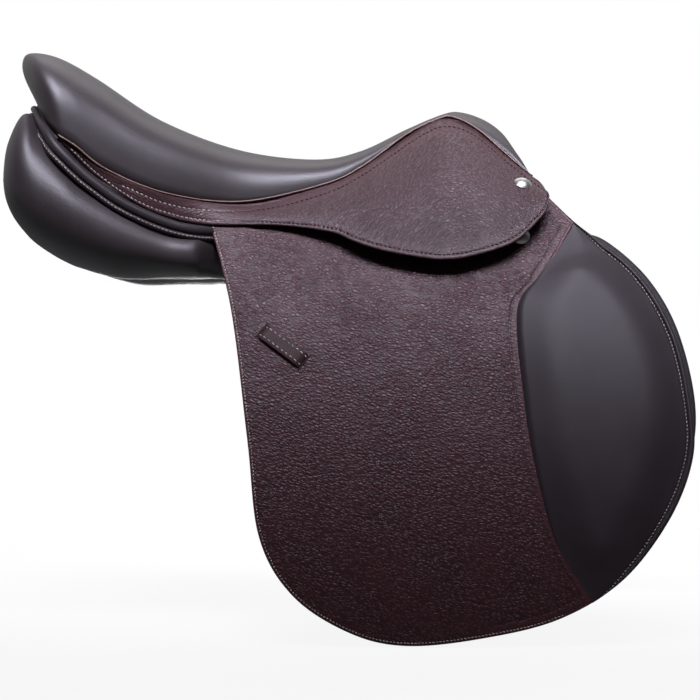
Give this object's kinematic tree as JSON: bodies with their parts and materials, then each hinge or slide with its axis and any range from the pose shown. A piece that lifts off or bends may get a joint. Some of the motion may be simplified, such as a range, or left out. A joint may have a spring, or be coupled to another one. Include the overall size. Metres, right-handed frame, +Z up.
{
  "type": "jumping saddle",
  "caption": "Dark brown leather jumping saddle with a deep padded seat, forward flaps with padded inserts that lift, girth straps, stirrup bars with safety catches and flocked panels.",
  "frame": {"origin": "on the symmetry plane under the seat's lowest point, at the height of the panels' lowest bearing line at the rear", "axes": "+X forward to the pommel, +Y to the rider's left (near side), +Z up"},
  "size_m": [0.5686, 0.431, 0.493],
  "materials": {
    "smooth_leather": "satin dark brown calf",
    "grained_leather": "pebbled dark brown cowhide",
    "welt_leather": "rounded piping, dyed tan brown",
    "strap_leather": "bridle leather",
    "block_foam": "leather over foam",
    "seat_foam": "latex foam",
    "webbing": "woven webbing",
    "tree_wood": "laminated beech",
    "steel": "satin steel",
    "polished_studs": "polished nickel"
  },
  "bodies": {
    "saddle": {"tree_head": "tree_wood", "tree_rail_off": "tree_wood", "tree_rail_near": "tree_wood", "tree_cantle": "tree_wood", "head_plate": "steel", "spring_steel_off": "steel", "spring_steel_near": "steel", "girth_web_front": "webbing", "girth_web_rear": "webbing", "seat_foam": "seat_foam", "seat_cover": "smooth_leather", "welt_off": "welt_leather", "welt_near": "welt_leather", "skirt_off": "grained_leather", "skirt_near": "grained_leather", "pommel_stud_off": "polished_studs", "pommel_stud_near": "polished_studs", "flap_yoke_off": "grained_leather", "flap_yoke_near": "grained_leather", "yoke_stud_off": "polished_studs", "yoke_stud_near": "polished_studs", "sweat_flap_off": "smooth_leather", "sweat_flap_near": "smooth_leather", "knee_block_off": "block_foam", "knee_block_near": "block_foam", "thigh_block_off": "block_foam", "thigh_block_near": "block_foam", "stirrup_bar_off": "steel", "stirrup_bar_near": "steel", "catch_pin_off": "steel", "catch_pin_near": "steel", "bar_rivets": "steel", "panel_off": "smooth_leather", "panel_near": "smooth_leather", "gullet_lining": "smooth_leather", "cantle_binding": "smooth_leather", "panel_facing_off": "grained_leather", "panel_facing_near": "grained_leather"},
    "flap_off": {"flap_backing_off": "smooth_leather", "flap_off": "grained_leather", "flap_insert_off": "smooth_leather", "strap_keeper_off": "grained_leather"},
    "strap_front_off": {"girth_strap_front_off": "strap_leather"},
    "strap_mid_off": {"girth_strap_mid_off": "strap_leather"},
    "strap_rear_off": {"girth_strap_rear_off": "strap_leather"},
    "catch_off": {"bar_catch_off": "steel"},
    "flap_near": {"flap_backing_near": "smooth_leather", "flap_near": "grained_leather", "flap_insert_near": "smooth_leather", "strap_keeper_near": "grained_leather"},
    "strap_front_near": {"girth_strap_front_near": "strap_leather"},
    "strap_mid_near": {"girth_strap_mid_near": "strap_leather"},
    "strap_rear_near": {"girth_strap_rear_near": "strap_leather"},
    "catch_near": {"bar_catch_near": "steel"}
  },
  "joints": [
    {"name": "flap_lift_off", "type": "hinge", "parent": "saddle", "child": "flap_off", "pos_m": [0, -0.1405, 0.012], "axis": [-1, 0, 0], "range_deg": [0, 75]},
    {"name": "catch_turn_off", "type": "hinge", "parent": "saddle", "child": "catch_off", "pos_m": [0.106, -0.12788, 0.05553], "axis": [0, -0.8595, 0.5111], "range_deg": [0, 60]},
    {"name": "strap_swing_front_off", "type": "hinge", "parent": "saddle", "child": "strap_front_off", "pos_m": [0.14, -0.12931, 0.0135], "axis": [0, -0.8861, 0.4635], "range_deg": [-5, 5]},
    {"name": "strap_swing_mid_off", "type": "hinge", "parent": "saddle", "child": "strap_mid_off", "pos_m": [0.098, -0.12931, 0.0135], "axis": [0, -0.8861, 0.4635], "range_deg": [-5, 5]},
    {"name": "strap_swing_rear_off", "type": "hinge", "parent": "saddle", "child": "strap_rear_off", "pos_m": [0.056, -0.12931, 0.0135], "axis": [0, -0.8861, 0.4635], "range_deg": [-5, 5]},
    {"name": "flap_lift_near", "type": "hinge", "parent": "saddle", "child": "flap_near", "pos_m": [0, 0.1405, 0.012], "axis": [1, 0, 0], "range_deg": [0, 75]},
    {"name": "catch_turn_near", "type": "hinge", "parent": "saddle", "child": "catch_near", "pos_m": [0.106, 0.12788, 0.05553], "axis": [0, -0.8595, -0.5111], "range_deg": [0, 60]},
    {"name": "strap_swing_front_near", "type": "hinge", "parent": "saddle", "child": "strap_front_near", "pos_m": [0.14, 0.12931, 0.0135], "axis": [0, -0.8861, -0.4635], "range_deg": [-5, 5]},
    {"name": "strap_swing_mid_near", "type": "hinge", "parent": "saddle", "child": "strap_mid_near", "pos_m": [0.098, 0.12931, 0.0135], "axis": [0, -0.8861, -0.4635], "range_deg": [-5, 5]},
    {"name": "strap_swing_rear_near", "type": "hinge", "parent": "saddle", "child": "strap_rear_near", "pos_m": [0.056, 0.12931, 0.0135], "axis": [0, -0.8861, -0.4635], "range_deg": [-5, 5]}
  ],
  "couplings": [
    {"joint": "strap_swing_mid_off", "follows": "strap_swing_front_off", "ratio": 1},
    {"joint": "strap_swing_rear_off", "follows": "strap_swing_front_off", "ratio": 1},
    {"joint": "strap_swing_mid_near", "follows": "strap_swing_front_near", "ratio": 1},
    {"joint": "strap_swing_rear_near", "follows": "strap_swing_front_near", "ratio": 1}
  ]
}
